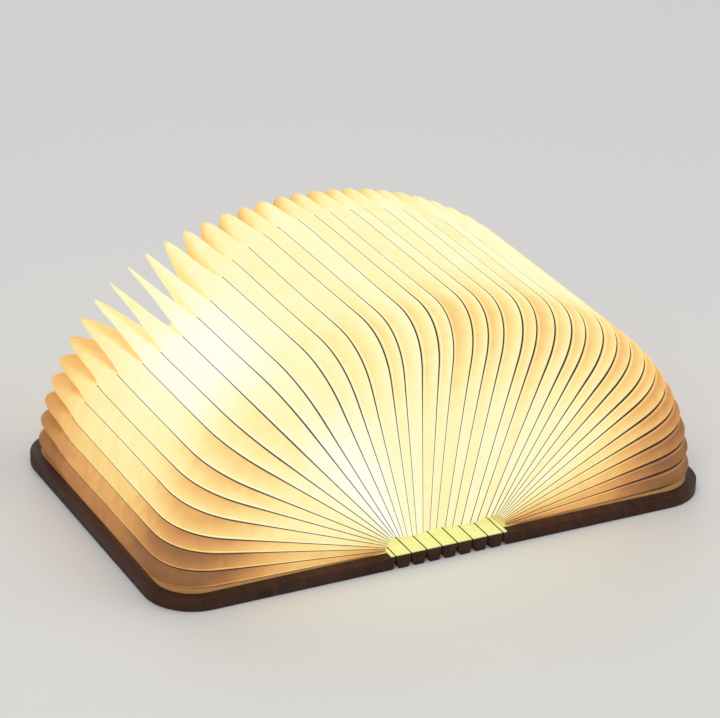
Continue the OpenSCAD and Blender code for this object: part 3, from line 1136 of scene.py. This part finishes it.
class BOOKLAMP_OT_stage(Operator):
    """Makes the floor, the lamps, the world and the camera"""

    bl_idname = "booklamp.stage"
    bl_label = "Stage"

    def execute(self, context):
        scene = context.scene
        stage = scene.book_stage
        a = np.radians(np.linspace(0, 360, FLOOR_SIDES, endpoint=False))
        height = np.full(FLOOR_SIDES, FLOOR_Z)
        rim = np.column_stack([FLOOR_R * np.cos(a), FLOOR_R * np.sin(a), height])
        floor = make_mesh("floor", rim, [list(range(FLOOR_SIDES))], smooth=False)
        floor.data.materials.append(finish("pale_floor", pale_floor))
        powers = (stage.key_power, stage.fill_power, stage.fill_power * BACK_SHARE)
        for (name, (at, size)), power in zip(LAMPS.items(), powers):
            soft_lamp(name, at, size, power)
        scene.world = studio_world()
        scene.camera = studio_camera(stage.lens)
        scene.view_settings.view_transform = "Standard"
        return {"FINISHED"}


def soft_lamp(name, at, size, power):
    """A soft square lamp that looks at the object."""
    light = bpy.data.lights.new(name, "AREA")
    light.size = size
    light.energy = power
    thing = bpy.data.objects.new(name, light)
    thing.location = at
    thing.rotation_euler = (Vector(LAMP_AIM) - Vector(at)).to_track_quat("-Z", "Y").to_euler()
    bpy.context.scene.collection.objects.link(thing)


def studio_world():
    """Even pale surroundings, brighter where the camera or a reflection sees them."""
    world = bpy.data.worlds.new("studio")
    world.use_nodes = True
    tree = world.node_tree
    back = tree.nodes["Background"]
    back.inputs["Color"].default_value = SKY
    path = add(tree, "LightPath")
    camera, gloss = (path.outputs[key] for key in ("Is Camera Ray", "Is Glossy Ray"))
    seen = maths(tree, "MAXIMUM", camera, gloss)
    join(tree, (remap(tree, seen, 0, 1, SKY_LIGHT, SKY_SEEN), back.inputs["Strength"]))
    return world


def studio_camera(lens):
    """Camera in front of the tail end, a little to the left and above."""
    eye = bpy.data.cameras.new("camera")
    eye.lens = lens
    eye.sensor_fit = "HORIZONTAL"
    eye.clip_start = 0.01
    camera = bpy.data.objects.new("camera", eye)
    turn = Matrix(CAMERA_TURN).transposed().to_4x4()
    camera.matrix_world = Matrix.Translation(CAMERA_AT) @ turn
    bpy.context.scene.collection.objects.link(camera)
    return camera


class BOOKLAMP_PT_panel(Panel):
    """Sidebar panel that lists the operators"""

    bl_idname = "BOOKLAMP_PT_panel"
    bl_label = "Folding book lamp"
    bl_space_type = "VIEW_3D"
    bl_region_type = "UI"
    bl_category = "Book lamp"

    def draw(self, context):
        for operator in OPERATORS:
            self.layout.operator(operator.bl_idname)
        for name, cls in SETTINGS.items():
            box = self.layout.box()
            for key in cls.__annotations__:
                box.prop(getattr(context.scene, name), key)


OPERATORS = [
    BOOKLAMP_OT_stage, BOOKLAMP_OT_boards, BOOKLAMP_OT_linings,
    BOOKLAMP_OT_pleats, BOOKLAMP_OT_light_bar, BOOKLAMP_OT_port,
]
SETTINGS = {
    "book_wood": WoodSettings, "book_pleats": PleatSettings,
    "book_glow": GlowSettings, "book_stage": StageSettings,
}


def register():
    for cls in (*SETTINGS.values(), *OPERATORS, BOOKLAMP_PT_panel):
        bpy.utils.register_class(cls)
    for key, cls in SETTINGS.items():
        setattr(bpy.types.Scene, key, PointerProperty(type=cls))


def unregister():
    for key in SETTINGS:
        delattr(bpy.types.Scene, key)
    for cls in (BOOKLAMP_PT_panel, *reversed(OPERATORS), *reversed(list(SETTINGS.values()))):
        bpy.utils.unregister_class(cls)


def main():
    register()
    bpy.ops.booklamp.stage()
    bpy.ops.booklamp.boards()
    bpy.ops.booklamp.linings()
    bpy.ops.booklamp.pleats()
    bpy.ops.booklamp.light_bar()
    bpy.ops.booklamp.port()
    bpy.context.view_layer.update()


if __name__ == "__main__":
    main()
